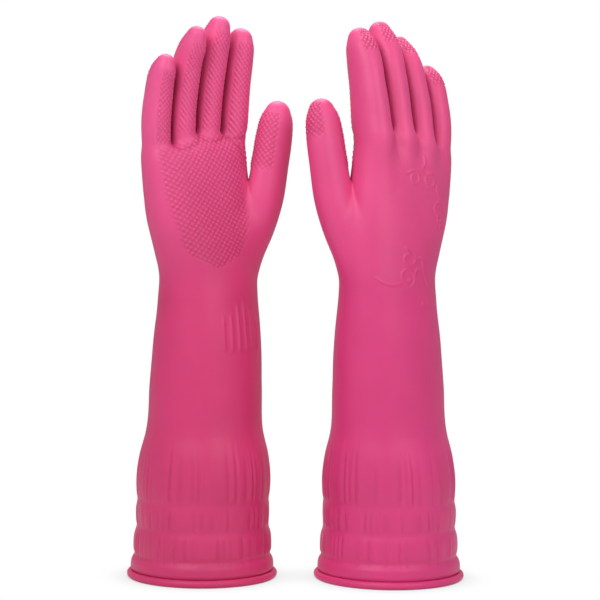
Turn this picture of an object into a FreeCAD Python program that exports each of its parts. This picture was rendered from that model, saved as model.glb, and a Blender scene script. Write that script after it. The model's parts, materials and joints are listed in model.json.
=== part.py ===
"""A pair of long household gloves in natural rubber, standing upright on their rolled cuffs.

Each glove is one film of rubber, dipped on a hand-shaped former: a banded bell cuff with a
rolled bead, a sleeve for the forearm, the hand, four fingers and a thumb. The film bends at
the wrist and at the folds of the digits, so it is divided there, and every division is a
hinge across the hollow. A wedge of film is left out on the inside of each fold, which is
where the real film crumples.

Both gloves fit the right hand. glove_a stands with its palm to the front, and glove_b is the
same glove turned half a turn about the vertical, so that it shows its back.

Glove frame, in millimetres: Z up from the table, X towards the thumb, -Y towards the palm,
origin at the centre of the cuff.
"""

import FreeCAD, Part
import math
import os
from FreeCAD import Matrix, Placement, Rotation, Vector

# Whole pair
HALF_SPACING = 64.0  # half the distance between the two cuff centres
STANDING_TURN = 40.0  # degrees that glove_a is turned from facing straight forwards
WALL = 0.5  # film thickness

# Rolled bead at the mouth of the cuff
BEAD_RING_RADIUS = 48.8
BEAD_ROLL_RADIUS = 2.6
BEAD_STANDING_FLAT = 0.2  # how much the roll is flattened by the table
SEAT_GAP = 0.05  # between the roll and the edge of the film

# Hinges
HINGE_GAP = 0.15  # from a hinge axis to the film on each side of it
FOLD_SPARE = 2.0  # degrees of spare room in each fold
WRIST_HEIGHT = 206.0
WRIST_CENTRE_X = 3.7
WRIST_OBLIQUE = 40.0  # degrees between the wrist's hinge and the line straight across the palm
WRIST_RANGE = (-40.0, 50.0)  # degrees, back with the thumb side and palm with the little finger side

# Cross-sections of the cuff, sleeve and hand from the bead upwards:
# height, centre x, half width, half depth, roundness (2 is an ellipse, more is squarer)
FILM_BOTTOM = 2 * BEAD_ROLL_RADIUS - BEAD_STANDING_FLAT + SEAT_GAP
KNUCKLE_TOP = 300.0
SECTIONS = [
    (FILM_BOTTOM, 0.0, 47.8, 47.8, 2.0),
    (9.0, 0.0, 48.9, 48.9, 2.0),  # shoulder above the bead
    (13.5, 0.1, 47.0, 47.0, 2.0),
    (24.6, 0.2, 46.8, 46.8, 2.0),  # lower band
    (34.2, 0.3, 45.3, 45.3, 2.0),
    (44.8, 0.4, 45.7, 45.7, 2.0),  # middle band
    (52.0, 0.5, 45.1, 45.1, 2.0),
    (65.5, 0.8, 45.7, 45.5, 2.0),  # upper band
    (83.5, 1.1, 44.2, 43.2, 2.0),
    (100.0, 1.5, 41.0, 38.5, 2.0),  # sleeve
    (131.0, 2.3, 39.8, 35.8, 2.0),
    (165.0, 3.4, 38.6, 32.8, 2.0),
    (190.0, 3.7, 37.0, 29.2, 2.0),
    (WRIST_HEIGHT, WRIST_CENTRE_X, 36.6, 27.3, 2.0),
    (222.0, 0.6, 37.6, 25.5, 2.1),  # hand
    (244.0, -4.0, 39.8, 23.0, 2.3),
    (265.0, -6.8, 40.6, 20.5, 2.5),
    (283.0, -8.6, 41.1, 17.5, 2.6),
    (KNUCKLE_TOP, -9.6, 41.2, 13.0, 2.8),
]
SECTION_POINTS = 24

# Fingers. splay turns a finger towards the thumb. leans are degrees towards the palm of the
# stub on the hand and of the root, mid and tip segments. lengths run from hinge to hinge and
# on to the fingertip. radii are half widths at the three hinges.
FINGER_DEPTH = 1.25  # depth of a finger as a share of its width
STUB_LENGTH = 22.0
TIP_TAPER = 0.96  # half width where the fingertip starts to round off, as a share of its last hinge
FINGERS = {
    "index": dict(x=20.6, z=315.0, splay=0.8, leans=(5, 9, 13, 16), lengths=(22, 19, 19), radii=(10.3, 10.2, 9.8)),
    "middle": dict(x=-1.0, z=316.0, splay=0.2, leans=(6, 10, 14, 17), lengths=(24, 21, 21), radii=(10.3, 10.1, 9.6)),
    "ring": dict(x=-21.7, z=313.0, splay=-0.6, leans=(7, 12, 16, 20), lengths=(22, 19.5, 19.5), radii=(9.8, 9.6, 9.1)),
    "little": dict(x=-41.2, z=308.5, splay=-1.2, leans=(6, 10, 13, 16), lengths=(16, 14.5, 14.5), radii=(9.0, 8.9, 8.4)),
}
FINGER_ROOT_RANGE = (-10.0, 60.0)
FINGER_MID_RANGE = (0.0, 70.0)
FINGER_TIP_RANGE = (0.0, 42.0)  # follows the mid fold at 0.6 of its angle

# Thumb: the ball of the thumb on the hand, then the root fold and the tip
THUMB_BALL = [  # centre and half width of the stub, from the heel of the hand upwards
    (Vector(25.0, -7.0, 220.0), 14.8),
    (Vector(37.0, -13.0, 256.0), 14.4),
]
THUMB_ROOT = Vector(43.6, -17.0, 285.0)
THUMB_TIP = Vector(47.6, -21.5, 325.5)
THUMB_MID_SHARE = 0.45  # where the second fold lies between the root fold and the tip
THUMB_RADII = (13.3, 12.7)
THUMB_DEPTH = 0.87
THUMB_TURN = 5.0  # degrees the thumb's palm side is turned towards the little finger
THUMB_ROOT_RANGE = (-10.0, 30.0)
THUMB_TIP_RANGE = (0.0, 45.0)


def outline(centre, across, over, half_width, half_depth, roundness=2.0):
    """Closed curve round centre: an ellipse, or squarer when roundness is over 2."""
    points = []
    for i in range(SECTION_POINTS):
        turn = 2 * math.pi * i / SECTION_POINTS
        c, s = math.cos(turn), math.sin(turn)
        x = math.copysign(abs(c) ** (2 / roundness), c) * half_width
        y = math.copysign(abs(s) ** (2 / roundness), s) * half_depth
        points.append(centre + across * x + over * y)
    curve = Part.BSplineCurve()
    curve.interpolate(Points=points, PeriodicFlag=True)
    return Part.Wire(curve.toShape())


def film_section(section, inset=0.0):
    """Outline of the film at one height of cuff, sleeve or hand, moved inwards by inset."""
    height, centre, half_width, half_depth, roundness = section
    middle = Vector(centre, 0, height)
    return outline(middle, Vector(1, 0, 0), Vector(0, 1, 0), half_width - inset, half_depth - inset, roundness)


def body_core(inset=0.0):
    """Solid inside the outline of cuff, sleeve and hand. The inset one leaves the top web closed."""
    sections = list(SECTIONS)
    if inset:
        bottom, top = list(sections[0]), list(sections[-1])
        bottom[0] -= 1.0  # runs out through the open mouth
        top[0] -= inset
        sections[0], sections[-1] = tuple(bottom), tuple(top)
    return Part.makeLoft([film_section(s, inset) for s in sections], True, False)


def digit_core(radii, length, depth, inset=0.0, tip=False, run_out=0.0):
    """Solid of a digit segment along +Z from the origin, tapering between two radii.

    run_out lengthens both ends, or with tip only the lower one. A tip ends in a dome that
    reaches length. depth stretches it along Y.
    """
    low, high = radii
    slope = (high - low) / length
    start = -run_out
    if tip:
        dome = high * 0.95
        end = length - dome
        r_end = low + slope * end - inset
    else:
        end = length + run_out
        r_end = low + slope * end - inset
    r_start = low + slope * start - inset
    floor = Vector(0, 0, start)
    foot = Vector(r_start, 0, start)
    rim = Vector(r_end, 0, end)
    edges = [Part.makeLine(floor, foot), Part.makeLine(foot, rim)]
    if tip:
        top = Vector(0, 0, length - inset)
        shoulder = math.sin(math.radians(45))
        half_way = Vector(r_end * shoulder, 0, end + (length - inset - end) * shoulder)
        edges.append(Part.Arc(rim, half_way, top).toShape())
    else:
        top = Vector(0, 0, end)
        edges.append(Part.makeLine(rim, top))
    edges.append(Part.makeLine(top, floor))
    profile = Part.Face(Part.Wire(edges))
    solid = profile.revolve(Vector(0, 0, 0), Vector(0, 0, 1), 360)
    stretch = Matrix()
    stretch.scale(1.0, depth, 1.0)
    return solid.transformGeometry(stretch)


def placed(shape, origin, across, along):
    """shape with its X on across and its Z on along, at origin."""
    shape.Placement = Placement(origin, Rotation(across, along.cross(across), along, "ZXY"))
    return shape


def fold_side(centre, across, along, limits, side, reach, height):
    """Prism holding everything on one side (+1 beyond, -1 before) of a hinge's two cut faces.

    across is the hinge axis and along the way the film runs. Positive angles turn towards the
    palm. Each side gives up half of each limit, so that the two never meet.
    """
    up = along * side
    front = along.cross(across) * -1
    back_half = math.radians(abs(limits[0]) / 2 + FOLD_SPARE)
    front_half = math.radians(abs(limits[1]) / 2 + FOLD_SPARE)
    apex = centre + up * HINGE_GAP
    front_edge = apex + front * reach + up * reach * math.tan(front_half)
    back_edge = apex - front * reach + up * reach * math.tan(back_half)
    front_top = centre + front * reach + up * height
    back_top = centre - front * reach + up * height
    outline = [p - across * reach for p in (apex, front_edge, front_top, back_top, back_edge, apex)]
    return Part.Face(Part.makePolygon(outline)).extrude(across * 2 * reach)


class Digit:
    """Hinges and segments of one finger or the thumb, in the glove frame."""

    def __init__(self, name, across, front, stub, hinges, tip, radii, depth, limits):
        self.name = name
        self.across = across  # hinge axis
        self.front = front  # way the digit bends
        self.stub = stub  # centres and half widths of the part that belongs to the hand
        self.hinges = hinges
        self.points = hinges + [tip]
        self.radii = radii
        self.depth = depth
        self.limits = limits

    def direction(self, index):
        """Way that segment index runs; -1 is the top of the stub."""
        ends = [self.stub[-1][0]] + self.points
        return (ends[index + 2] - ends[index + 1]).normalize()

    def cut(self, index, side):
        """Half of the fold at hinge index."""
        along = (self.direction(index - 1) + self.direction(index)).normalize()
        reach = 2.0 * max(self.radii)
        return fold_side(self.hinges[index], self.across, along, self.limits[index], side, reach, 100.0)

    def segment(self, index):
        """Shell of the film from hinge index to the next one, or to the tip."""
        start, end = self.points[index], self.points[index + 1]
        last = index == len(self.hinges) - 1
        end_radius = TIP_TAPER * self.radii[index] if last else self.radii[index + 1]
        shells = []
        for inset in (0.0, WALL):
            core = digit_core((self.radii[index], end_radius), (end - start).Length, self.depth, inset, last, 1.0)
            shells.append(placed(core, start, self.across, self.direction(index)))
        film = shells[0].cut(shells[1]).common(self.cut(index, 1))
        if not last:
            film = film.common(self.cut(index + 1, -1))
        return film

    def stub_core(self, inset=0.0):
        """Solid of the part of the hand that carries the root hinge."""
        chain = self.stub + [(self.hinges[0] + self.direction(-1), self.radii[0])]
        rings = []
        for index, (centre, radius) in enumerate(chain):
            before, after = chain[max(index - 1, 0)][0], chain[min(index + 1, len(chain) - 1)][0]
            over = (after - before).normalize().cross(self.across)
            rings.append(outline(centre, self.across, over, radius - inset, radius * self.depth - inset))
        solid = Part.makeLoft(rings, True, len(rings) == 2)
        return solid if inset else solid.common(self.cut(0, -1))


def finger(name):
    """One of the four fingers, from its row in FINGERS."""
    row = FINGERS[name]
    splay = math.radians(row["splay"])
    up = Vector(math.sin(splay), 0, math.cos(splay))
    front = Vector(0, -1, 0)
    ways = [up * math.cos(math.radians(a)) + front * math.sin(math.radians(a)) for a in row["leans"]]
    root = Vector(row["x"], 0, row["z"])
    points = [root]
    for way, length in zip(ways[1:], row["lengths"]):
        points.append(points[-1] + way * length)
    return Digit(
        name,
        across=up.cross(front),
        front=front,
        stub=[(root - ways[0] * STUB_LENGTH, row["radii"][0])],
        hinges=points[:3],
        tip=points[3],
        radii=row["radii"],
        depth=FINGER_DEPTH,
        limits=(FINGER_ROOT_RANGE, FINGER_MID_RANGE, FINGER_TIP_RANGE),
    )


def thumb():
    """The thumb, with its palm side turned a little towards the fingers."""
    turn = math.radians(THUMB_TURN)
    along = (THUMB_TIP - THUMB_ROOT).normalize()
    across = along.cross(Vector(-math.sin(turn), -math.cos(turn), 0)).normalize()
    return Digit(
        "thumb",
        across=across,
        front=across.cross(along),
        stub=THUMB_BALL,
        hinges=[THUMB_ROOT, THUMB_ROOT + (THUMB_TIP - THUMB_ROOT) * THUMB_MID_SHARE],
        tip=THUMB_TIP,
        radii=THUMB_RADII,
        depth=THUMB_DEPTH,
        limits=(THUMB_ROOT_RANGE, THUMB_TIP_RANGE),
    )


def digits():
    """The five digits of a glove."""
    return [thumb()] + [finger(name) for name in FINGERS]


def segment_names(digit):
    """Names of a digit's segments, hand side first."""
    return ["root", "tip"] if digit.name == "thumb" else ["root", "mid", "tip"]


def wrist_axis():
    """Hinge of the wrist fold, a wrist's own oblique line: parallel to the front of the standing pair."""
    oblique = math.radians(WRIST_OBLIQUE)
    return Vector(math.cos(oblique), -math.sin(oblique), 0)


def wrist_side(side):
    """Everything above (+1) or below (-1) the wrist fold."""
    centre = Vector(WRIST_CENTRE_X, 0, WRIST_HEIGHT)
    return fold_side(centre, wrist_axis(), Vector(0, 0, 1), WRIST_RANGE, side, 90.0, 220.0)


def gauntlet():
    """Bell cuff and sleeve, open at the mouth."""
    return body_core().cut(body_core(WALL)).common(wrist_side(-1))


def hand():
    """Palm and back of the hand, with the stubs that carry the digits."""
    outside, inside = body_core().common(wrist_side(1)), body_core(WALL)
    for digit in digits():
        outside = outside.fuse(digit.stub_core())
        inside = inside.fuse(digit.stub_core(WALL))
    return outside.cut(inside).removeSplitter()


def cuff_bead():
    """Roll of film round the mouth, flattened where it stands on the table."""
    roll = Part.makeTorus(BEAD_RING_RADIUS, BEAD_ROLL_RADIUS, Vector(0, 0, BEAD_ROLL_RADIUS - BEAD_STANDING_FLAT))
    span = 2 * (BEAD_RING_RADIUS + BEAD_ROLL_RADIUS)
    table = Part.makeBox(span, span, span, Vector(-span / 2, -span / 2, -span))
    return roll.cut(table)


def glove_parts():
    """Every named part of one glove, in the glove frame."""
    parts = {"cuff_bead": cuff_bead(), "gauntlet": gauntlet(), "hand": hand()}
    for digit in digits():
        for index, segment in enumerate(segment_names(digit)):
            parts[f"{digit.name}_{segment}"] = digit.segment(index)
    return parts


def glove_placements():
    """Where the two gloves stand."""
    first = Placement(Vector(-HALF_SPACING, 0, 0), Rotation(Vector(0, 0, 1), STANDING_TURN))
    second = Placement(Vector(HALF_SPACING, 0, 0), Rotation(Vector(0, 0, 1), STANDING_TURN + 180.0))
    return {"glove_a": first, "glove_b": second}


def main():
    os.makedirs("parts", exist_ok=True)
    parts = glove_parts()
    for glove, place in glove_placements().items():
        for name, shape in parts.items():
            moved = shape.transformed(place.Matrix)
            moved.exportStep(f"parts/{glove}_{name}.step")


if __name__ == "__main__":
    main()
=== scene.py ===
"""The looks of a pair of pink rubber gloves standing on their cuffs, drawn round the CAD frame.

Both gloves are the same right-hand glove, so the film is worked out once, in the glove's own
frame, and placed twice. That frame is in millimetres: Z up from the table, X towards the
thumb, -Y towards the palm, origin at the centre of the cuff.

The film is one skin. It is divided into pieces only where it has to bend: the bead, the sleeve,
the wrist, the hand, and one piece round each hinge of every digit.
"""

import json
import math

import bpy
import numpy as np
import openvdb
from mathutils import Matrix, Vector

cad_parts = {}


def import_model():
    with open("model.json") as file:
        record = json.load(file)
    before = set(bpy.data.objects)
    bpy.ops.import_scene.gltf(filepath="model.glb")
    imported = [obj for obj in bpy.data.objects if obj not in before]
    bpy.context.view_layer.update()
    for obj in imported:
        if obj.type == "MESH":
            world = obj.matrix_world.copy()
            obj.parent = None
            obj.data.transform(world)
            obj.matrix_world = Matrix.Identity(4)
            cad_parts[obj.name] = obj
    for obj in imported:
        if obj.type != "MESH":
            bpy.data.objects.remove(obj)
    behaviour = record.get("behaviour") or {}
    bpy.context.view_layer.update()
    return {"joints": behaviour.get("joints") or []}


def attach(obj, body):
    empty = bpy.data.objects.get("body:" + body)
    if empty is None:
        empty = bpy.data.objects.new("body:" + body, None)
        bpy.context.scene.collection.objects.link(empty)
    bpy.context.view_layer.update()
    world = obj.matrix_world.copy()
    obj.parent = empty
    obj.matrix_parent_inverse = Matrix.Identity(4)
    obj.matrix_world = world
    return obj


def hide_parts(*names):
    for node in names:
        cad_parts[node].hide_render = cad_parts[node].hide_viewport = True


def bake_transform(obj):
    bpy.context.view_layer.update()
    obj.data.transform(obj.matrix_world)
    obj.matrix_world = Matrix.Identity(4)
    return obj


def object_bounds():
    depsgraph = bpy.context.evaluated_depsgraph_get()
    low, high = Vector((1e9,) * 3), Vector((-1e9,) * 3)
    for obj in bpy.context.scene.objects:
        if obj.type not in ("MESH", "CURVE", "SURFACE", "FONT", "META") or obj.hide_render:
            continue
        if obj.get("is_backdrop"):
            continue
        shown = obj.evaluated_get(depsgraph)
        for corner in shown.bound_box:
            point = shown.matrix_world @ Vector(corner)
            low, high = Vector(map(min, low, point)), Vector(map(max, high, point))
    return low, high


MM = 0.001
FILM = 1.0  # from the outside of the film to the inside sheet, so that no groove reaches it
VOXEL = 0.6  # size of the faces on the hand
HAND_BOX_LOW = (-57.0, -40.0, 182.0)  # corners of the space that is searched for the hand's surface
HAND_BOX_HIGH = (66.0, 33.0, 386.0)
SLAB = 24  # layers of that space worked out at a time
DEEPEST = 4.0  # distances beyond this don't matter to the surface
INSIDE_STEP = 3  # the inside sheet is this many times coarser

# Outline of the cuff, sleeve and hand from the bead upwards:
# height, centre x, half width, half depth, roundness (2 is an ellipse, more is squarer)
SECTIONS = np.array([
    (4.6, 0.0, 47.6, 47.6, 2.0),
    (6.0, 0.0, 48.5, 48.5, 2.0),  # shoulder above the bead
    (9.5, 0.0, 48.8, 48.8, 2.0),
    (12.6, 0.1, 48.2, 48.2, 2.0),
    (13.8, 0.1, 47.6, 47.6, 2.0),
    (15.6, 0.1, 46.5, 46.5, 2.0),
    (19.0, 0.2, 46.8, 46.8, 2.0),  # lower band
    (26.0, 0.2, 46.8, 46.8, 2.0),
    (31.0, 0.3, 46.2, 46.2, 2.0),
    (35.0, 0.3, 45.2, 45.2, 2.0),
    (39.0, 0.4, 45.4, 45.4, 2.0),  # middle band
    (45.0, 0.4, 45.6, 45.6, 2.0),
    (50.0, 0.5, 45.3, 45.3, 2.0),
    (53.0, 0.5, 44.9, 44.9, 2.0),
    (57.0, 0.6, 45.2, 45.1, 2.0),  # upper band
    (66.0, 0.8, 45.6, 45.4, 2.0),
    (83.5, 1.1, 44.2, 43.2, 2.0),
    (100.0, 1.5, 41.0, 38.5, 2.0),  # sleeve
    (131.0, 2.3, 39.8, 35.8, 2.0),
    (165.0, 3.4, 38.6, 32.8, 2.0),
    (190.0, 3.7, 37.0, 29.2, 2.0),
    (206.0, 3.7, 36.6, 27.3, 2.0),
    (222.0, 0.6, 37.6, 25.5, 2.1),  # hand
    (244.0, -4.0, 39.8, 23.0, 2.3),
    (265.0, -6.7, 40.3, 20.5, 2.5),
    (283.0, -8.3, 40.3, 17.5, 2.6),
    (300.0, -9.2, 40.2, 13.0, 2.8),
    (312.0, -9.4, 40.0, 11.0, 2.8),
])
WEB_X = (-54.0, -46.0, -33.0, -14.0, 9.5, 24.0, 34.0)  # height of the web between the digits
WEB_Z = (286.0, 291.0, 292.5, 300.7, 302.3, 300.5, 289.0)
WEB_SLOPE = 0.15  # rise of the web towards the back of the hand
WEB_ROUNDING = 9.0

# Digits. foot holds the centres that lead up to the root hinge from inside the hand. droop is how
# far the film hangs towards the palm at the hinges beyond the root, the pad and the tip. radii
# and depths (half depth over half width) are given at the foot, every hinge, the pad and the tip.
PAD_SHARE = 0.45  # where the pad lies between the last hinge and the tip
DIGITS = {
    "thumb": dict(
        foot=[(27.0, -8.0, 228.0), (34.0, -10.8, 240.0), (39.8, -14.5, 260.0)],
        tip=(47.2, -21.5, 325.8),
        droop=(0.0, 0.0, 0.0, 0.0),
        radii=(14.6, 14.4, 14.2, 13.3, 12.6, 11.9, 8.9),
        depths=(0.90, 0.90, 0.90, 0.88, 0.88, 0.88, 0.90),
    ),
    "index": dict(
        foot=[(17.5, 4.8, 270.0), (19.6, 3.6, 287.0)],
        tip=(22.2, -13.3, 374.3),
        droop=(0.0, 0.0, 0.0, 0.0),
        radii=(9.2, 10.5, 10.9, 10.2, 10.0, 9.6, 7.6),
        depths=(1.20, 1.32, 1.42, 1.38, 1.26, 1.18, 1.05),
    ),
    "middle": dict(
        foot=[(-1.6, 5.0, 270.0), (-1.2, 4.0, 287.0)],
        tip=(-0.2, -16.4, 380.3),
        droop=(0.0, 0.6, 1.2, 1.6),
        radii=(8.6, 9.6, 9.8, 9.8, 9.5, 9.1, 7.2),
        depths=(1.20, 1.32, 1.40, 1.34, 1.24, 1.16, 1.05),
    ),
    "ring": dict(
        foot=[(-20.0, 4.6, 269.0), (-21.0, 3.6, 286.0)],
        tip=(-21.6, -17.6, 371.8),
        droop=(0.0, 1.2, 2.6, 3.8),
        radii=(8.4, 9.1, 9.4, 9.3, 8.8, 8.3, 6.3),
        depths=(1.20, 1.30, 1.36, 1.30, 1.22, 1.15, 1.05),
    ),
    "little": dict(
        foot=[(-35.5, 3.6, 266.0), (-38.8, 2.0, 284.0)],
        tip=(-41.6, -11.4, 352.8),
        droop=(0.0, 1.0, 1.8, 2.4),
        radii=(7.6, 8.5, 9.0, 8.8, 8.3, 7.9, 6.2),
        depths=(1.15, 1.20, 1.25, 1.24, 1.20, 1.16, 1.05),
    ),
}
DIGIT_GAP = 0.9  # smallest gap kept between two digits
DIGIT_ROUNDING = 0.6  # edge of the cut that keeps two digits apart
KNUCKLE_FILLET = 5.0  # between the fingers and the hand
FAR = 40.0  # stands for the distance of a point that is nowhere near
FINGER_REACH = 22.0  # how far from a digit's centre line its distance is worked out
THUMB_REACH = 34.0
# The thumb leaves the hand gradually: how far it is kept outside the hand, and the fillet, by height
THUMB_CLEAR_Z = (200.0, 252.0, 265.0, 272.0, 300.0)
THUMB_CLEAR = (-30.0, -16.0, -3.0, 0.9, 0.9)
THUMB_FILLET_Z = (200.0, 240.0, 254.0, 263.0, 270.0, 300.0)
THUMB_FILLET = (10.0, 10.0, 7.0, 3.0, 1.0, 0.6)
STATIONS = 48  # points along the centre line of a digit
STATION_POWER = 1.25  # above 1 brings them closer together towards the tip
# How far before its root hinge the film of a digit starts to bend
FOLD_STARTS = {"thumb": 9.0, "index": 10.5, "middle": 11.5, "ring": 9.5, "little": 10.5}

# Heights where the film is divided
SLEEVE_TOP = 186.0
HAND_BOTTOM = 226.0
KNUCKLES = 296.0  # above this the film belongs to the digits
OWN_REACH = 3.0  # how far outside a digit its own film may lie there, in a fillet
BODY_LEAD = 0.2  # a face this little nearer to a digit still belongs to the hand

# Cuff
BEAD_RING = 48.8  # radius of the ring that the roll of film follows
BEAD_ROLL = 2.6  # radius of the roll itself
BEAD_CENTRE = 2.4  # height of its centre
FLUTES = 36
FLUTE_BANDS = ((15.6, 34.6), (35.4, 52.6), (53.4, 102.0))  # bottom and top of each band
FLUTE_DEPTH = 0.95
FLUTE_ROUNDNESS = 0.75  # below 1 makes the ridges broad and the grooves narrow
FLUTE_MIDDLE = 0.65  # share of the depth that lies below the smooth film
NOTCH_HEIGHT = 15.0  # dimples where the lowest flutes meet the shoulder, darkened with painted shade
NOTCH_SIZE = 0.9
NOTCH_DEPTH = 0.4  # beside the depth of a flute


def smooth(low, high, value):
    """0 below low, 1 above high, and an even rise between."""
    t = np.clip((value - low) / (high - low), 0.0, 1.0)
    return t * t * (3.0 - 2.0 * t)


def fall(low, high, value):
    """1 below low, 0 above high, and an even fall between."""
    return smooth(-high, -low, -value)


def curve(at, knots, values):
    """Smooth curve through the knots, level beyond its ends."""
    knots = np.asarray(knots, float)
    values = np.asarray(values, float)
    slopes = np.gradient(values, knots)
    at = np.clip(at, knots[0], knots[-1])
    i = np.clip(np.searchsorted(knots, at) - 1, 0, len(knots) - 2)
    step = knots[i + 1] - knots[i]
    t = (at - knots[i]) / step
    low = (1 + 2 * t) * (1 - t) ** 2 * values[i] + t * (1 - t) ** 2 * step * slopes[i]
    high = t * t * (3 - 2 * t) * values[i + 1] + t * t * (t - 1) * step * slopes[i + 1]
    return low + high


def join(a, b, rounding):
    """Union of two distances with a rounded fillet."""
    h = np.maximum(rounding - np.abs(a - b), 0.0) / rounding
    return np.minimum(a, b) - h * h * rounding * 0.25


def meet(a, b, rounding):
    """Intersection of two distances with a rounded edge."""
    return -join(-a, -b, rounding)


def section(z):
    """Centre x, half width, half depth and roundness of the film at height z."""
    return [curve(z, SECTIONS[:, 0], SECTIONS[:, column]) for column in range(1, 5)]


def outline(turn, z):
    """Points of the smooth film at heights z, turn radians round from +X."""
    centre, wide, deep, roundness = section(z)
    c, s = np.cos(turn), np.sin(turn)
    x = np.sign(c) * np.abs(c) ** (2 / roundness) * wide
    y = np.sign(s) * np.abs(s) ** (2 / roundness) * deep
    return np.stack([centre + x, y, z + 0 * x], axis=-1)


def body_distance(p):
    """Distance outside the film of the sleeve and hand, without digits."""
    centre, wide, deep, roundness = section(p[:, 2])
    u = np.maximum(np.abs((p[:, 0] - centre) / wide), 1e-3)
    v = np.maximum(np.abs(p[:, 1] / deep), 1e-3)
    share = (u**roundness + v**roundness) ** (1 / roundness)
    side = np.hypot(u * wide, v * deep) * (1 - 1 / share)
    top = p[:, 2] - curve(p[:, 0], WEB_X, WEB_Z) - WEB_SLOPE * p[:, 1]
    return meet(side, top, WEB_ROUNDING)


class Digit:
    """Centre line of a finger or the thumb, and the places where it folds."""

    def __init__(self, name, row, hinges, across):
        self.name = name
        self.hinges = hinges
        self.across = across
        tip = np.array(row["tip"])
        last = (tip - hinges[-1]) / np.linalg.norm(tip - hinges[-1])
        foot = np.array(row["foot"])
        end = tip - last * row["radii"][-1]
        pad = hinges[-1] + (end - hinges[-1]) * PAD_SHARE
        hung = np.vstack([hinges[1:], pad, end])
        hung[:, 1] -= row["droop"][-len(hung):]
        knots = np.vstack([foot, hinges[:1], hung])
        lengths = np.append(0.0, np.cumsum(np.linalg.norm(np.diff(knots, axis=0), axis=1)))
        self.stations = lengths[-1] * (1 - (1 - np.linspace(0.0, 1.0, STATIONS)) ** STATION_POWER)
        self.rail = np.stack([curve(self.stations, lengths, knots[:, i]) for i in range(3)], axis=1)
        self.radii = curve(self.stations, lengths, row["radii"])
        self.depths = curve(self.stations, lengths, row["depths"])
        self.root_station = lengths[len(foot)]
        self.tip_station = lengths[-1] + row["radii"][-1]
        reach = THUMB_REACH if name == "thumb" else FINGER_REACH
        self.low = self.rail.min(axis=0) - reach
        self.high = self.rail.max(axis=0) + reach
        self.borders = self.find_borders(tip)

    def find_borders(self, tip):
        """(point, direction) of the cuts between this digit's pieces, hand side first."""
        points = np.vstack([self.hinges, tip])
        ways = np.diff(points, axis=0)
        ways /= np.linalg.norm(ways, axis=1)[:, None]
        cuts = [(self.hinges[0] - ways[0] * FOLD_STARTS[self.name], ways[0])]
        for start, end, way in zip(points, points[1:-1], ways):
            cuts.append(((start + end) / 2, way))
        return cuts

    def near(self, p):
        """Whether each point is close enough to matter."""
        return np.all((p > self.low) & (p < self.high), axis=1)

    def gap(self, p):
        """Distance outside the digit, or FAR where a point isn't near."""
        gap = np.full(len(p), FAR)
        here = self.near(p)
        gap[here] = self.distance(p[here])
        return gap

    def distance(self, p, stations=False):
        """Distance outside the digit. With stations, also where each point lies on it:
        distance along from the root hinge, and degrees round from the palm side to the thumb side."""
        best = np.full(len(p), FAR)
        along_at = np.zeros(len(p))
        round_at = np.zeros(len(p))
        for i in range(len(self.rail) - 1):
            way = self.rail[i + 1] - self.rail[i]
            length = np.linalg.norm(way)
            way = way / length
            over = np.cross(way, self.across)
            over /= np.linalg.norm(over)
            rel = p - self.rail[i]
            side, lift, along = rel @ self.across, rel @ over, rel @ way
            share = np.clip(along / length, 0.0, 1.0)
            radius = self.radii[i] + (self.radii[i + 1] - self.radii[i]) * share
            depth = self.depths[i] + (self.depths[i + 1] - self.depths[i]) * share
            gap = np.sqrt(side**2 + (lift / depth) ** 2 + (along - share * length) ** 2) - radius
            closer = gap < best
            best[closer] = gap[closer]
            if stations:
                along_at[closer] = self.stations[i] + np.maximum(along, share * length)[closer]
                round_at[closer] = np.degrees(np.arctan2(side, -lift / depth))[closer]
        if stations:
            return best, along_at - self.root_station, round_at
        return best


def read_frame(frame):
    """Placement of each glove, and the digits, from the joints of the frame."""
    joints = {j["name"]: j for j in frame["joints"]}
    gloves = {}
    for glove in ("glove_a", "glove_b"):
        wrist = joints[f"{glove}_wrist_fold"]
        across = joints[f"{glove}_middle_root_fold"]["axis"]
        turn = math.atan2(across[1], across[0])
        spin = np.array(Matrix.Rotation(turn, 3, "Z"))
        centre_x = float(section(np.array([wrist["pos_m"][2] / MM]))[0][0])
        base = np.array(wrist["pos_m"]) / MM - spin @ np.array([centre_x, 0.0, wrist["pos_m"][2] / MM])
        gloves[glove] = (spin, base)
    spin, base = gloves["glove_a"]
    digits = []
    for name, row in DIGITS.items():
        folds = [f"glove_a_{name}_{part}_fold" for part in ("root", "mid", "tip")]
        folds = [joints[f] for f in folds if f in joints]
        hinges = np.array([(np.array(f["pos_m"]) / MM - base) @ spin for f in folds])
        digits.append(Digit(name, row, hinges, np.array(folds[0]["axis"]) @ spin))
    return gloves, digits


def film_distance(p, digits):
    """Distance outside the whole film above the sleeve."""
    thumb, fingers = digits[0], digits[1:]
    gaps = [finger.gap(p) for finger in fingers]
    kept = []
    for i, gap in enumerate(gaps):
        for j in (i - 1, i + 1):
            if 0 <= j < len(gaps):
                gap = meet(gap, (gaps[i] - gaps[j]) / 2 + DIGIT_GAP / 2, DIGIT_ROUNDING)
        kept.append(gap)
    body = body_distance(p)
    film = join(body, np.minimum.reduce(kept), KNUCKLE_FILLET)
    clear = curve(p[:, 2], THUMB_CLEAR_Z, THUMB_CLEAR)
    alone = meet(thumb.gap(p), clear - body, 1.0)
    return join(film, alone, curve(p[:, 2], THUMB_FILLET_Z, THUMB_FILLET))


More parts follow.
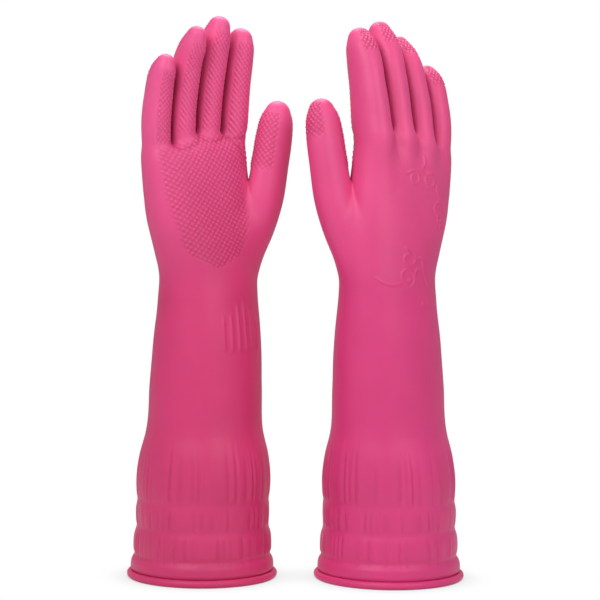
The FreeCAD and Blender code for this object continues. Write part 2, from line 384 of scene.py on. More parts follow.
def sampled_film(digits):
    """Distances on a grid round the hand, with the grid's lowest corner."""
    low = np.array(HAND_BOX_LOW)
    counts = np.ceil((np.array(HAND_BOX_HIGH) - low) / VOXEL).astype(int) + 1
    x = low[0] + VOXEL * np.arange(counts[0])
    y = low[1] + VOXEL * np.arange(counts[1])
    z = low[2] + VOXEL * np.arange(counts[2])
    grid = np.empty(counts, np.float32)
    for k in range(0, counts[2], SLAB):
        axes = np.meshgrid(x, y, z[k : k + SLAB], indexing="ij")
        p = np.stack([a.ravel() for a in axes], axis=1)
        grid[:, :, k : k + SLAB] = film_distance(p, digits).reshape(axes[0].shape)
    return grid, low


def surface(grid, low, step, level):
    """Vertices and quads of the surface at distance level, facing outwards."""
    field = openvdb.FloatGrid(background=DEEPEST)
    field.copyFromArray(np.ascontiguousarray(np.clip(grid[::step, ::step, ::step], -DEEPEST, DEEPEST)))
    points, quads = field.convertToQuads(isovalue=level)
    return points.astype(float) * VOXEL * step + low, quads.astype(np.int64)


def vertex_normals(points, quads):
    """Unit normals, each the mean of the faces round its vertex."""
    a, b, c, d = (points[quads[:, i]] for i in range(4))
    face = np.cross(c - a, d - b)
    total = np.zeros_like(points)
    for corner in range(4):
        for axis in range(3):
            total[:, axis] += np.bincount(quads[:, corner], face[:, axis], len(points))
    return total / np.maximum(np.linalg.norm(total, axis=1), 1e-12)[:, None]


def compact(points, quads, *extras):
    """The quads with only the vertices they use."""
    used, quads = np.unique(quads, return_inverse=True)
    return [points[used], quads.reshape(-1, 4)] + [extra[used] for extra in extras]


# Raised patterns on the outside of the film ------------------------------------------------

KNURL_HEIGHT = 0.8  # of the grip pattern, from the bottom of a groove to the top
KNURL_POWER = 1.6  # above 1 makes the grooves narrower
KNURL_MIDDLE = 0.55  # share of the height that lies above the smooth film
PALM_ROWS = ((-26.3, 2.84), (53.2, 2.98))  # degrees and spacing of the two sets of grooves
PALM_EVEN = 0.86  # the second set is this much as deep as the first
PATTERN_FADE = 8.0  # length over which a digit's pattern takes over from the palm's
PATTERN_REACH = 1.6  # how far outside a digit's smooth surface its pattern still holds
# Outline of the rough palm: its two sides by height, and its top by x
PALM_Z = (205.0, 211.0, 219.0, 236.0, 256.0, 271.0, 280.0, 291.0, 303.0)
PALM_LOW_X = (6.0, -8.0, -25.0, -34.5, -42.0, -45.0, -46.0, -47.0, -48.0)
PALM_HIGH_X = (-20.0, -6.0, 11.0, 21.0, 23.0, 22.5, 29.0, 32.0, 32.0)
PALM_TOP_X = (-45.0, -33.0, -25.0, -12.0, 10.0, 30.0)
PALM_TOP_Z = (293.0, 295.0, 299.0, 304.0, 306.0, 302.0)
PALM_EDGE = (-0.5, 3.5)  # the pattern rises to its full height between these distances inside it
PALM_TOP_FADE = 7.0
PALM_FACING = (0.1, 0.35)  # and between these shares of facing the front
FINGER_PITCH = 2.75
FINGER_ROWS = ((-45.0, FINGER_PITCH), (45.0, FINGER_PITCH))
FINGER_EVEN = {"thumb": 1.0, "index": 0.6, "middle": 0.6, "ring": 0.6, "little": 1.0}
FINGER_RISE = 6.0  # length over which the pattern rises at the foot of a digit
FINGER_END = (6.5, 10.0)  # distances from the tip between which it rises there
ARC_FADE = 6.0  # degrees over which it fades, to each side of its edges
# Rough patch behind a digit's tip: degrees round between which it rises, and between which it
# falls, and distances from the tip between which it falls
THUMB_PATCH = ((54, 66), (142, 156), (22, 28))
FINGER_PATCH = ((136, 148), (248, 262), (16, 22))
PATCH_TIP = (1.5, 4)  # distances from the tip between which it rises
PATCH_HEIGHT = 1.1  # it is this much higher than the rest
# Where the rough side of a digit begins, along from its root hinge
FINGER_START = {"thumb": -9.0, "index": -22.0, "middle": -12.0, "ring": -12.0, "little": -17.0}
FINGER_ARC = {  # degrees round from the palm side to the thumb side between which a digit is rough
    "thumb": (-150, -20),
    "index": (-48, 36),
    "middle": (-48, 54),
    "ring": (-44, 56),
    "little": (-38, 56),
}
ARC_RADIUS = 11.0  # turns degrees round a digit into millimetres for the pattern
# Ribs of the sleeve: degrees round from the thumb side, and the heights they run between
RIB_ANGLES = (-105.3, -96.3, -87.3, -78.3, -69.0, -57.0)
RIB_TOPS = (181.5, 182.5, 190.0, 193.0, 186.0, 181.0)
RIB_BOTTOM = 155.5
RIB_HEIGHT = 0.65
RIB_WIDTH = 0.95
RIB_ARC = 0.6  # millimetres round the sleeve to a degree
RIB_RISE = 2.0  # length over which a rib rises at its bottom
RIB_FALL = 9.0  # and falls at its top
SCROLL_FACING = 0.2  # least share of facing the back, where the scrollwork can be
SCROLL_Z = (181, 296)
SCROLL_HEIGHT = 0.7
SCROLL_WIDTH = 0.65
CREASE_DEPTH = 0.7
CREASE_WIDTH = 1.5
CREASE_SHADE = 0.6  # painted shade: how dark a crease looks beside a groove of the grip pattern
CREASE_FACING = (0.1, 0.4)  # shares of facing the front between which a crease reaches its full depth
CREASE_Z = (255, 312)


def bump(phase):
    """1 over most of each whole phase, and 0 in a groove half way between."""
    return 1 - (0.5 - 0.5 * np.cos(2 * np.pi * phase)) ** KNURL_POWER


def knurl(across, along, rows, even=1.0):
    """Raised rhombs between two sets of grooves. even below 1 softens the second set."""
    sets = []
    for angle, pitch in rows:
        a = math.radians(angle)
        sets.append(bump((along * math.cos(a) - across * math.sin(a)) / pitch))
    return sets[0] * (1 - even + even * sets[1])


def palm_relief(p, normals):
    """The rough palm."""
    x, z = p[:, 0], p[:, 2]
    edge = np.minimum(x - curve(z, PALM_Z, PALM_LOW_X), curve(z, PALM_Z, PALM_HIGH_X) - x)
    top = np.interp(x, PALM_TOP_X, PALM_TOP_Z)
    mask = smooth(*PALM_EDGE, edge) * smooth(*PALM_FACING, -normals[:, 1])
    mask = mask * smooth(0, PALM_TOP_FADE, top - z)
    return mask * (knurl(x, z, PALM_ROWS, PALM_EVEN) - KNURL_MIDDLE)


def digit_relief(digit, along, turn):
    """The rough side of a digit, and the rough patch over its tip."""
    length = digit.tip_station - digit.root_station
    start, end = FINGER_ARC[digit.name]
    low = FINGER_START[digit.name]
    mask = smooth(low, low + FINGER_RISE, along) * smooth(*FINGER_END, length - along)
    mask = mask * smooth(start - ARC_FADE, start + ARC_FADE, turn)
    mask = mask * fall(end - ARC_FADE, end + ARC_FADE, turn)
    even = FINGER_EVEN[digit.name]
    rough = mask * (knurl(np.radians(turn) * ARC_RADIUS, along, FINGER_ROWS, even) - KNURL_MIDDLE)
    behind = np.mod(turn, 360.0)
    rises, falls, ends = THUMB_PATCH if digit.name == "thumb" else FINGER_PATCH
    patch = smooth(*rises, behind) * fall(*falls, behind) * fall(*ends, length - along)
    patch = patch * smooth(*PATCH_TIP, length - along)
    behind_knurl = knurl(np.radians(behind) * ARC_RADIUS, along, FINGER_ROWS)
    return rough + PATCH_HEIGHT * patch * (behind_knurl - KNURL_MIDDLE)


def rib_relief(p):
    """The short upright ribs on the palm side of the sleeve."""
    centre, wide, deep, _ = section(p[:, 2])
    turn = np.degrees(np.arctan2(p[:, 1] / deep, (p[:, 0] - centre) / wide))
    total = np.zeros(len(p))
    for angle, top in zip(RIB_ANGLES, RIB_TOPS):
        aside = (turn - angle) * RIB_ARC
        ends = smooth(0, RIB_RISE, p[:, 2] - RIB_BOTTOM) * smooth(0, RIB_FALL, top - p[:, 2])
        total += ends * np.exp(-((aside / RIB_WIDTH) ** 2))
    return total


def spiral(x, z, radius, start, turns, steps=26):
    """Points of a curl that winds in from radius to its middle. Negative turns wind the other way."""
    points = []
    for i in range(steps + 1):
        share = i / steps
        angle = math.radians(start) + 2 * math.pi * turns * share
        r = radius * (1 - 0.65 * share)
        points.append((x + r * math.cos(angle), z + r * math.sin(angle)))
    return points


def bow(start, end, sag, steps=14):
    """Points of an arc between two points, with sag to its left."""
    (x0, z0), (x1, z1) = start, end
    points = []
    for i in range(steps + 1):
        t = i / steps
        lift = 4 * sag * t * (1 - t) / math.hypot(x1 - x0, z1 - z0)
        points.append((x0 + (x1 - x0) * t - (z1 - z0) * lift, z0 + (z1 - z0) * t + (x1 - x0) * lift))
    return points


SCROLL = [  # curls and tendrils on the back of the hand, x and z
    spiral(-2.0, 273.0, 5.6, 60, 1.1),
    bow((0.8, 277.8), (9.5, 278.6), -2.0),
    spiral(-17.5, 271.5, 6.2, 120, -1.15),
    bow((-20.6, 276.9), (-6.0, 279.4), -2.4),
    bow((-11.0, 280.2), (-14.0, 288.0), 1.4),
    bow((-23.0, 268.5), (-29.5, 256.5), 2.4),
    spiral(-24.5, 252.0, 5.6, 100, -1.15),
    spiral(-27.0, 241.0, 4.8, 60, 1.1),
    bow((-19.2, 252.6), (-22.4, 243.4), -1.6),
    spiral(8.0, 219.0, 7.0, 70, 1.1),
    bow((10.0, 225.6), (-4.0, 219.5), 3.0),
    bow((-4.0, 219.5), (-10.5, 198.5), 2.2),
    spiral(10.5, 206.5, 7.0, 250, -1.1),
    bow((3.8, 207.4), (-3.2, 212.0), -2.2),
    bow((16.5, 202.0), (31.0, 206.0), -2.6),
    spiral(-4.0, 187.5, 5.0, 100, 1.05),
]
CREASES = [  # where the film folds on the palm side, x and z
    bow((-31.0, 291.5), (-12.0, 299.5), -3.4),
    bow((-12.0, 299.5), (9.5, 301.5), -4.2),
    bow((9.5, 301.0), (27.0, 303.0), -3.0),
    bow((9.5, 300.0), (24.0, 286.0), 2.0),
]
SWELLS = [  # soft bulges and hollows: x, side (-1 palm, 1 back), z, radius, height
    (-1.0, -1, 307.0, 8.0, 1.0),
    (20.0, -1, 309.0, 8.0, 0.8),
    (-21.5, -1, 304.0, 8.0, 0.9),
    (-12.0, -1, 291.5, 9.0, 0.9),
    (12.0, -1, 293.0, 9.0, 0.9),
    (-6.0, -1, 252.0, 22.0, -1.8),
    (20.4, 1, 300.0, 9.0, 1.3),
    (-1.0, 1, 300.0, 9.0, 1.4),
    (-21.5, 1, 296.0, 8.5, 1.4),
    (9.7, 1, 293.0, 6.0, -1.2),
    (-11.3, 1, 291.0, 6.0, -1.2),
    (-31.0, 1, 286.0, 6.0, -1.0),
]


def line_share(p, chosen, lines, width):
    """1 on the lines and 0 away from them, for the chosen points, by x and z."""
    gap = np.full(len(chosen), 9.0)
    x, z = p[chosen, 0], p[chosen, 2]
    for line in lines:
        for (x0, z0), (x1, z1) in zip(line, line[1:]):
            dx, dz = x1 - x0, z1 - z0
            t = np.clip(((x - x0) * dx + (z - z0) * dz) / (dx * dx + dz * dz), 0, 1)
            gap = np.minimum(gap, np.hypot(x - x0 - t * dx, z - z0 - t * dz))
    share = np.zeros(len(p))
    share[chosen] = np.exp(-((gap / width) ** 2))
    return share


def scroll_share(p, normals):
    """Thin raised scrollwork on the back of the hand."""
    low, high = SCROLL_Z
    behind = np.flatnonzero((normals[:, 1] > SCROLL_FACING) & (p[:, 2] > low) & (p[:, 2] < high))
    return line_share(p, behind, SCROLL, SCROLL_WIDTH)


def crease_share(p, normals):
    """Folds of the film under the fingers and beside the thumb."""
    low, high = CREASE_Z
    front = np.flatnonzero((normals[:, 1] < 0.1) & (p[:, 2] > low) & (p[:, 2] < high))
    return line_share(p, front, CREASES, CREASE_WIDTH) * smooth(*CREASE_FACING, -normals[:, 1])


def swell_relief(p, normals):
    """Pads and knuckles."""
    total = np.zeros(len(p))
    for x, side, z, radius, height in SWELLS:
        near = np.exp(-((p[:, 0] - x) ** 2 + (p[:, 2] - z) ** 2) / radius**2)
        total += height * near * smooth(0.0, 0.5, side * normals[:, 1])
    return total


def waver(p):
    """Slow unevenness of a soft film."""
    x, y, z = p[:, 0], p[:, 1], p[:, 2]
    first = np.sin(x * 0.061 + z * 0.043 + 1.0) * np.sin(y * 0.055 - z * 0.027 + 2.0)
    second = np.sin(x * 0.13 - z * 0.09 + y * 0.07) * np.sin(z * 0.11 + y * 0.1 + 0.5)
    return smooth(20, 110, z) * (0.2 * first + 0.1 * second)


def relief(p, normals, digits):
    """Height of every pattern over the smooth film, in millimetres, and the share of painted shade, a
    darker colour put into grooves and creases.
    """
    rough = palm_relief(p, normals)
    best = np.full(len(p), PATTERN_REACH)
    for digit in digits:
        here = np.flatnonzero(digit.near(p))
        gap, along, turn = digit.distance(p[here], stations=True)
        on = (gap < best[here]) & (along > FINGER_START[digit.name] - 1)
        own = here[on]
        best[own] = gap[on]
        fade = smooth(FINGER_START[digit.name], FINGER_START[digit.name] + PATTERN_FADE, along[on])
        rough[own] = rough[own] * (1 - fade) + digit_relief(digit, along[on], turn[on])
    crease = crease_share(p, normals)
    height = waver(p) + swell_relief(p, normals) - CREASE_DEPTH * crease
    height += RIB_HEIGHT * rib_relief(p) + SCROLL_HEIGHT * scroll_share(p, normals)
    # painted shade: the grooves of the grip pattern and the creases get a darker colour, where shade
    # would fall
    painted_groove_shade = np.clip(-rough / KNURL_MIDDLE, 0, 1) + CREASE_SHADE * crease
    return height + KNURL_HEIGHT * rough, painted_groove_shade


def flute_relief(turn, z):
    """Height of the upright flutes of the cuff, in three bands, and the share of painted shade in
    their grooves.
    """
    height, painted_groove_shade = np.zeros_like(z), np.zeros_like(z)
    for number, (low, high) in enumerate(FLUTE_BANDS):
        drift = 0.45 * np.sin(7 * turn + 2 * number) + 0.3 * np.sin(13 * turn - number)
        phase = turn * FLUTES / (2 * np.pi) + drift
        share = np.abs(np.sin(np.pi * phase)) ** FLUTE_ROUNDNESS
        flute = np.round(phase)
        uneven = 0.8 + 0.35 * np.sin(flute * 2.4 + number * 1.7) + 0.2 * np.sin(flute * 0.9 + number)
        t = np.clip((z - low) / (high - low), 0, 1)
        inside = (t > 0) & (t < 1)
        if high > 90:
            swell = smooth(0, 0.1, t) * (1 - smooth(0.4, 0.9, t + 0.08 * np.sin(flute * 1.9)))
        else:
            swell = smooth(0, 0.2, t) * (1 - smooth(0.65, 1.0, t))
        swell = inside * swell * uneven
        height += swell * (share - FLUTE_MIDDLE)
        # painted shade in the grooves of the flutes, strongest low in each band
        painted_groove_shade += swell * (1 - share) * (0.75 - 0.6 * t)
        if number == 0:
            notch = np.exp(-(((z - NOTCH_HEIGHT) / NOTCH_SIZE) ** 2)) * (1 - share) ** 2
    # the notches get painted shade as well
    return FLUTE_DEPTH * (height - NOTCH_DEPTH * notch), painted_groove_shade + 0.9 * notch


# Skins ---------------------------------------------------------------------------------------


def ring_grid(turns, heights):
    """Quads of a tube whose vertices run round each height in turn, facing outwards."""
    n, m = len(turns), len(heights)
    row, col = np.meshgrid(np.arange(m - 1), np.arange(n), indexing="ij")
    a = row * n + col
    b = row * n + (col + 1) % n
    return np.stack([a, b, b + n, a + n], axis=-1).reshape(-1, 4)


def rim(quads):
    """Vertices on the open edges of a skin."""
    edges = np.sort(np.concatenate([quads[:, [i, (i + 1) % 4]] for i in range(4)]), axis=1)
    pairs, counts = np.unique(edges, axis=0, return_counts=True)
    return np.unique(pairs[counts == 1])


def sleeve_skin():
    """Outside of the cuff and sleeve, with normals that match the hand's at the top."""
    turns = np.linspace(0, 2 * np.pi, FLUTES * 12, endpoint=False)
    heights = np.concatenate([
        np.arange(4.6, 36.0, 0.7),
        np.arange(36.0, 106.0, 1.0),
        np.arange(106.0, SLEEVE_TOP, 1.6),
        [SLEEVE_TOP, SLEEVE_TOP + 1.2, SLEEVE_TOP + 2.4],
    ])
    turn, z = np.meshgrid(turns, heights)
    points = outline(turn, z).reshape(-1, 3)
    quads = ring_grid(turns, heights)
    normals = vertex_normals(points, quads)
    flutes, painted_groove_shade = flute_relief(turn.ravel(), z.ravel())
    height = waver(points) + RIB_HEIGHT * rib_relief(points) + flutes
    points = points + normals * height[:, None]
    normals = vertex_normals(points, quads)
    kept = quads[: -2 * len(turns)]
    top = slice((len(heights) - 3) * len(turns), (len(heights) - 2) * len(turns))
    return (points, kept, normals, painted_groove_shade), (points[top], normals[top])


def sleeve_inside():
    """Inside sheet of the cuff and sleeve."""
    turns = np.linspace(0, 2 * np.pi, 144, endpoint=False)
    heights = np.concatenate([np.arange(3.4, 110.0, 3.0), np.linspace(110.0, SLEEVE_TOP, 20)])
    turn, z = np.meshgrid(turns, heights)
    points = outline(turn, np.maximum(z, 4.6)).reshape(-1, 3)
    points[:, 2] = z.ravel()
    quads = ring_grid(turns, heights)
    normals = vertex_normals(points, quads)
    points = points + normals * (waver(points) - FILM)[:, None]
    return points, quads[:, ::-1], -vertex_normals(points, quads), np.zeros(len(points))


def bead_skin():
    """Roll of film round the mouth, flat where it stands."""
    turns = np.linspace(0, 2 * np.pi, 288, endpoint=False)
    rolls = np.linspace(0, 2 * np.pi, 29)
    turn, roll = np.meshgrid(turns, rolls)
    reach = BEAD_RING + BEAD_ROLL * np.cos(roll)
    z = np.maximum(BEAD_CENTRE + BEAD_ROLL * np.sin(roll), 0.0)
    points = np.stack([reach * np.cos(turn), reach * np.sin(turn), z], axis=-1).reshape(-1, 3)
    quads = ring_grid(turns, rolls)
    flat = [np.cos(roll) * np.cos(turn), np.cos(roll) * np.sin(turn), np.sin(roll)]
    normals = np.stack(flat, axis=-1).reshape(-1, 3)
    return points, quads, normals, np.zeros(len(points))


def hand_skin(grid, low, digits, seam):
    """Outside of the wrist, hand and digits. seam is the top ring of the sleeve."""
    points, quads = surface(grid, low, 1, 0.0)
    quads = quads[points[quads][:, :, 2].mean(axis=1) > SLEEVE_TOP + 0.3]
    points, quads = compact(points, quads)
    normals = vertex_normals(points, quads)
    if np.sum(normals * (points - points.mean(axis=0))) < 0:
        quads = quads[:, ::-1]
        normals = -normals
    edge = rim(quads)
    height, painted_groove_shade = relief(points, normals, digits)
    points = points + normals * height[:, None]
    ring, ring_normals = seam
    centre = section(np.array([SLEEVE_TOP]))[0][0]
    ring_turn = np.arctan2(ring[:, 1], ring[:, 0] - centre)
    order = np.argsort(ring_turn)
    here = np.arctan2(points[edge, 1], points[edge, 0] - centre)

    def round_the_seam(values):
        columns = [np.interp(here, ring_turn[order], v, period=2 * np.pi) for v in values[order].T]
        return np.stack(columns, axis=1)

    points[edge] = round_the_seam(ring)
    normals = vertex_normals(points, quads)
    normals[edge] = round_the_seam(ring_normals)
    return points, quads, normals, painted_groove_shade


def hand_inside(grid, low):
    """Inside sheet of the wrist, hand and digits."""
    points, quads = surface(grid, low, INSIDE_STEP, -FILM)
    quads = quads[points[quads][:, :, 2].mean(axis=1) > SLEEVE_TOP]
    points, quads = compact(points, quads)
    normals = vertex_normals(points, quads)
    if np.sum(normals * (points - points.mean(axis=0))) > 0:
        quads = quads[:, ::-1]
        normals = -normals
    follow = waver(points) + swell_relief(points, -normals)
    follow -= CREASE_DEPTH * crease_share(points, -normals)
    points = points - normals * follow[:, None]
    points[rim(quads), 2] = SLEEVE_TOP
    return points, quads, normals, np.zeros(len(points))


def share_out(points, quads, digits):
    """Number of the piece each face belongs to: 0 wrist, 1 hand, then every fold of every digit."""
    middle = points[quads].mean(axis=1)
    piece = np.where(middle[:, 2] < HAND_BOTTOM, 0, 1)
    best = body_distance(middle) - BODY_LEAD
    best[middle[:, 2] > KNUCKLES] = OWN_REACH
    number = 2
    for digit in digits:
        gap = digit.gap(middle)
        point, way = digit.borders[0]
        own = (gap < best) & ((middle - point) @ way > 0)
        best[own] = gap[own]
        for order, (point, way) in enumerate(digit.borders):
            beyond = own & ((middle - point) @ way > 0)
            piece[beyond] = number + order
        number += len(digit.borders)
    return piece


# Blender objects -----------------------------------------------------------------------------

FILM_TINTS_WITH_PAINTED_LIGHT = {  # linear colours of the sleeve and of the hand. The hand's paler pink is partly the film's own colour and partly painted light from above; the two gloves' different pairs are painted light and shade on one rubber
    "glove_a": ((0.655, 0.042, 0.168), (0.84, 0.098, 0.285)),
    "glove_b": ((0.715, 0.050, 0.212), (0.785, 0.08, 0.25)),
}
PAINTED_NOOK_SHADE = (0.335, 0.011, 0.053)  # painted shade: dark red mixed into the colour deep inside a cleft, where the light that reaches it is red
RUBBER = {
    "Roughness": 0.44,
    "Subsurface Weight": 0.12,
    "Subsurface Radius": (1.0, 0.3, 0.35),
    "Subsurface Scale": 0.003,
    "Specular IOR Level": 0.35,
}
# Metres up: where the sleeve's colour starts to change, and from where it is the hand's. The change to
# a paler pink is partly painted light from above.
SLEEVE_PINK_TO = 0.19
HAND_PINK_FROM = 0.3
GROOVE_SHADE = 0.3  # share of the painted nook shade mixed into a groove
HIDDEN = (0.52, 0.1)  # open shares between which a nook goes from the film's colour to the painted nook shade
NOOK_REACH = 0.014  # metres, how far the AO node looks for the painted nook shade


def rubber(name, sleeve_tint, hand_tint):
    """Pink natural rubber with a soft sheen. Its colour pales from the sleeve to the hand, partly
    painted light from above, and painted shade darkens its grooves, creases and clefts.
    """
    material = bpy.data.materials.new(name)
    material.use_nodes = True
    nodes, links = material.node_tree.nodes, material.node_tree.links
    shader = nodes["Principled BSDF"]
    for socket, value in RUBBER.items():
        shader.inputs[socket].default_value = value
    where = nodes.new("ShaderNodeAttribute")
    where.attribute_name = "rest"
    cloud = nodes.new("ShaderNodeTexNoise")
    cloud.inputs["Scale"].default_value = 22.0
    cloud.inputs["Detail"].default_value = 3.0
    ramp = nodes.new("ShaderNodeValToRGB")
    for stop, grey in zip(ramp.color_ramp.elements, (0.9, 1.0)):
        stop.color = (grey, grey, grey, 1.0)
    ramp.color_ramp.elements[0].position = 0.3
    ramp.color_ramp.elements[1].position = 0.7
    split = nodes.new("ShaderNodeSeparateXYZ")
    height = nodes.new("ShaderNodeMapRange")
    height.inputs["From Min"].default_value = SLEEVE_PINK_TO
    height.inputs["From Max"].default_value = HAND_PINK_FROM
    # partly painted light: the colour pales from the sleeve up to the hand, as if lit from above
    film = nodes.new("ShaderNodeMixRGB")
    film.inputs["Color1"].default_value = sleeve_tint + (1.0,)
    film.inputs["Color2"].default_value = hand_tint + (1.0,)
    mottled = nodes.new("ShaderNodeMixRGB")
    mottled.blend_type = "MULTIPLY"
    mottled.inputs["Fac"].default_value = 1.0
    links.new(where.outputs["Vector"], split.inputs["Vector"])
    links.new(split.outputs["Z"], height.inputs["Value"])
    links.new(height.outputs["Result"], film.inputs["Fac"])
    links.new(film.outputs["Color"], mottled.inputs["Color1"])
    links.new(ramp.outputs["Color"], mottled.inputs["Color2"])
    links.new(where.outputs["Vector"], cloud.inputs["Vector"])
    links.new(cloud.outputs["Fac"], ramp.inputs["Fac"])
    # painted shade: grooves and creases are darkened towards the nook's dark red
    painted_groove_shade = nodes.new("ShaderNodeAttribute")
    painted_groove_shade.attribute_name = "painted_groove_shade"
    shade = nodes.new("ShaderNodeMath")
    shade.operation = "MULTIPLY"
    shade.use_clamp = True
    shade.inputs[1].default_value = GROOVE_SHADE
    # painted shade: the AO node darkens the clefts of the hand, between the digits
    nooks = nodes.new("ShaderNodeAmbientOcclusion")
    nooks.inputs["Distance"].default_value = NOOK_REACH
    nooks.samples = 8
    hidden = nodes.new("ShaderNodeMapRange")
    hidden.inputs["From Min"].default_value, hidden.inputs["From Max"].default_value = HIDDEN
    of_hand = nodes.new("ShaderNodeMath")
    of_hand.operation = "MULTIPLY"
    deeper = nodes.new("ShaderNodeMath")
    deeper.operation = "MAXIMUM"
    blend = nodes.new("ShaderNodeMixRGB")
    blend.inputs["Color2"].default_value = PAINTED_NOOK_SHADE + (1.0,)
    links.new(painted_groove_shade.outputs["Fac"], shade.inputs[0])
    links.new(nooks.outputs["AO"], hidden.inputs["Value"])
    links.new(shade.outputs["Value"], deeper.inputs[0])
    links.new(hidden.outputs["Result"], of_hand.inputs[0])
    links.new(height.outputs["Result"], of_hand.inputs[1])
    links.new(of_hand.outputs["Value"], deeper.inputs[1])
    links.new(deeper.outputs["Value"], blend.inputs["Fac"])
    links.new(mottled.outputs["Color"], blend.inputs["Color1"])
    links.new(blend.outputs["Color"], shader.inputs["Base Color"])
    grain = nodes.new("ShaderNodeTexNoise")
    grain.inputs["Scale"].default_value = 900.0
    grain.inputs["Detail"].default_value = 2.0
    relief_node = nodes.new("ShaderNodeBump")
    relief_node.inputs["Strength"].default_value = 0.08
    relief_node.inputs["Distance"].default_value = 0.0004
    links.new(where.outputs["Vector"], grain.inputs["Vector"])
    links.new(grain.outputs["Fac"], relief_node.inputs["Height"])
    links.new(relief_node.outputs["Normal"], shader.inputs["Normal"])
    return material


def build_piece(name, skins, place, material):
    """Object made of one or more (points, quads, normals, painted groove shade) skins, at a glove's
    place.

    The rest attribute keeps where each point stands at rest, so that the film's colour stays put
    when a joint bends it.
    """
    spin, base = place
    points = np.concatenate([skin[0] for skin in skins]) @ spin.T + base
    normals = np.concatenate([skin[2] for skin in skins]) @ spin.T
    offsets = np.cumsum([0] + [len(skin[0]) for skin in skins[:-1]])
    quads = np.concatenate([skin[1] + offset for skin, offset in zip(skins, offsets)])
    mesh = bpy.data.meshes.new(name)
    mesh.vertices.add(len(points))
    mesh.vertices.foreach_set("co", (points * MM).ravel())
    mesh.loops.add(quads.size)
    mesh.loops.foreach_set("vertex_index", quads.ravel())
    mesh.polygons.add(len(quads))
    mesh.polygons.foreach_set("loop_start", np.arange(0, quads.size, 4))
    mesh.update(calc_edges=True)
    mesh.shade_smooth()
    mesh.normals_split_custom_set_from_vertices(normals)
    painted_groove_shade = mesh.attributes.new("painted_groove_shade", "FLOAT", "POINT")
    painted_groove_shade.data.foreach_set("value", np.concatenate([skin[3] for skin in skins]))
    rest = mesh.attributes.new("rest", "FLOAT_VECTOR", "POINT")
    rest.data.foreach_set("vector", (points * MM).ravel())
    mesh.materials.append(material)
    piece = bpy.data.objects.new(name, mesh)
    bpy.context.scene.collection.objects.link(piece)
    return piece


def pick(skin, chosen):
    """The chosen faces of a skin."""
    points, quads, normals, painted_groove_shade = skin
    return compact(points, quads[chosen], normals, painted_groove_shade)


def build_glove(glove, place, skins, digits, material):
    """All pieces of one glove; the bead, sleeve and hand pieces are bound to the frame."""
    bead = build_piece(f"{glove}_bead", [skins["bead"]], place, material)
    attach(bead, f"{glove}_sleeve")
    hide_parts(f"{glove}_cuff_bead")
    sheets = [skins["sleeve"], skins["sleeve_inside"]]
    sleeve = build_piece(f"{glove}_sleeve_film", sheets, place, material)
    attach(sleeve, f"{glove}_sleeve")
    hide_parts(f"{glove}_gauntlet")

    def part(name, number):
        chosen = [pick(skin, owner == number) for skin, owner in skins["hand"]]
        return build_piece(f"{glove}_{name}", chosen, place, material)

    wrist = part("wrist_film", 0)
    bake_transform(wrist)
    palm = part("hand_film", 1)
    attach(palm, f"{glove}_hand")
    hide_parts(f"{glove}_hand")
    number = 2
    for digit in digits:
        names = ("root", "tip") if digit.name == "thumb" else ("root", "mid", "tip")
        for order, name in enumerate(names):
            piece = part(f"{digit.name}_{name}_film", number)
            body = f"{glove}_{digit.name}_{name}"
            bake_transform(piece)
            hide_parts(body)
            number += 1


def build_light(name, place, target, size, power):
    """Square softbox at place, aimed at target."""
    data = bpy.data.lights.new(name, "AREA")
    data.size = size
    data.energy = power
    light = bpy.data.objects.new(name, data)
    light.location = place
    light.rotation_mode = "QUATERNION"
    light.rotation_quaternion = (Vector(target) - Vector(place)).to_track_quat("-Z", "Y")
    bpy.context.scene.collection.objects.link(light)


def floor_paint():
    """White to the camera, with a painted contact shadow where something stands on it, and pale to the
    light.
    """
    paint = bpy.data.materials.new("floor")
    paint.use_nodes = True
    nodes, links = paint.node_tree.nodes, paint.node_tree.links
    shader = nodes["Principled BSDF"]
    shader.inputs["Base Color"].default_value = (0.8, 0.8, 0.8, 1.0)
    shader.inputs["Roughness"].default_value = 0.9
    # painted shadow: the AO node darkens the white where something stands near
    painted_contact_shadow = nodes.new("ShaderNodeAmbientOcclusion")
    painted_contact_shadow.inputs["Distance"].default_value = 0.03
    painted_contact_shadow.samples = 8
    ramp = nodes.new("ShaderNodeValToRGB")
    ramp.color_ramp.elements[0].color = (0.55, 0.5, 0.52, 1.0)
    ramp.color_ramp.elements[1].position = 0.9
    glow = nodes.new("ShaderNodeEmission")
    ray = nodes.new("ShaderNodeLightPath")
    mix = nodes.new("ShaderNodeMixShader")
    links.new(painted_contact_shadow.outputs["AO"], ramp.inputs["Fac"])
    links.new(ramp.outputs["Color"], glow.inputs["Color"])
    links.new(ray.outputs["Is Camera Ray"], mix.inputs["Fac"])
    links.new(shader.outputs["BSDF"], mix.inputs[1])
    links.new(glow.outputs["Emission"], mix.inputs[2])
    links.new(mix.outputs["Shader"], nodes["Material Output"].inputs["Surface"])
    return paint


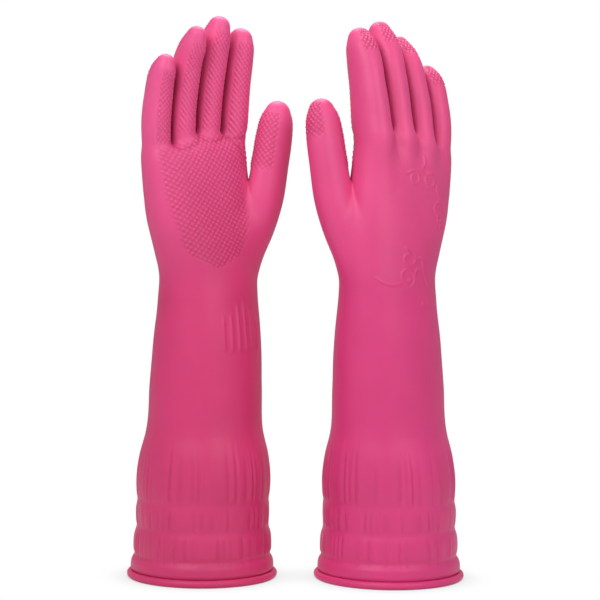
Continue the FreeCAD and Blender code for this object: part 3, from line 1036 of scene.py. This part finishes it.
def build_studio():
    """White surroundings, three softboxes and a pale floor."""
    scene = bpy.context.scene
    scene.view_settings.view_transform = "Standard"
    world = bpy.data.worlds.new("studio")
    scene.world = world
    world.use_nodes = True
    nodes, links = world.node_tree.nodes, world.node_tree.links
    seen = nodes.new("ShaderNodeBackground")
    seen.inputs["Color"].default_value = (1.0, 1.0, 1.0, 1.0)
    cast = nodes["Background"]
    cast.inputs["Color"].default_value = (1.0, 1.0, 1.0, 1.0)
    cast.inputs["Strength"].default_value = 0.4
    ray = nodes.new("ShaderNodeLightPath")
    mix = nodes.new("ShaderNodeMixShader")
    links.new(ray.outputs["Is Camera Ray"], mix.inputs["Fac"])
    links.new(cast.outputs["Background"], mix.inputs[1])
    links.new(seen.outputs["Background"], mix.inputs[2])
    links.new(mix.outputs["Shader"], nodes["World Output"].inputs["Surface"])
    build_light("key", (-0.45, -0.75, 0.9), (0, 0, 0.36), 0.55, 5.6)
    build_light("side", (0.4, -0.6, 0.6), (0, 0, 0.36), 0.45, 2.0)
    build_light("top", (0.0, 0.2, 0.9), (0, 0, 0.3), 0.5, 4.0)
    mesh = bpy.data.meshes.new("floor")
    mesh.from_pydata([(-9, -9, 0), (9, -9, 0), (9, 9, 0), (-9, 9, 0)], [], [(0, 1, 2, 3)])
    floor = bpy.data.objects.new("floor", mesh)
    scene.collection.objects.link(floor)
    mesh.materials.append(floor_paint())
    floor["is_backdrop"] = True


def build_camera():
    """Camera in front of the pair, tilted down 2 degrees and rolled a little."""
    data = bpy.data.cameras.new("camera")
    data.lens = 114.25
    data.sensor_width = 36.0
    camera = bpy.data.objects.new("camera", data)
    camera.location = (0.0012, -1.3, 0.235)
    camera.rotation_euler = (math.radians(88.0), math.radians(-0.5), 0.0)
    bpy.context.scene.collection.objects.link(camera)
    bpy.context.scene.camera = camera


def main():
    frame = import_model()
    gloves, digits = read_frame(frame)
    grid, low = sampled_film(digits)
    sleeve, seam = sleeve_skin()
    outside = hand_skin(grid, low, digits, seam)
    inside = hand_inside(grid, low)
    skins = {
        "bead": bead_skin(),
        "sleeve": compact(*sleeve),
        "sleeve_inside": sleeve_inside(),
        "hand": [(skin, share_out(skin[0], skin[1], digits)) for skin in (outside, inside)],
    }
    for glove, place in gloves.items():
        build_glove(glove, place, skins, digits, rubber(f"{glove}_rubber", *FILM_TINTS_WITH_PAINTED_LIGHT[glove]))
    build_studio()
    build_camera()
    low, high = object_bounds()


main()
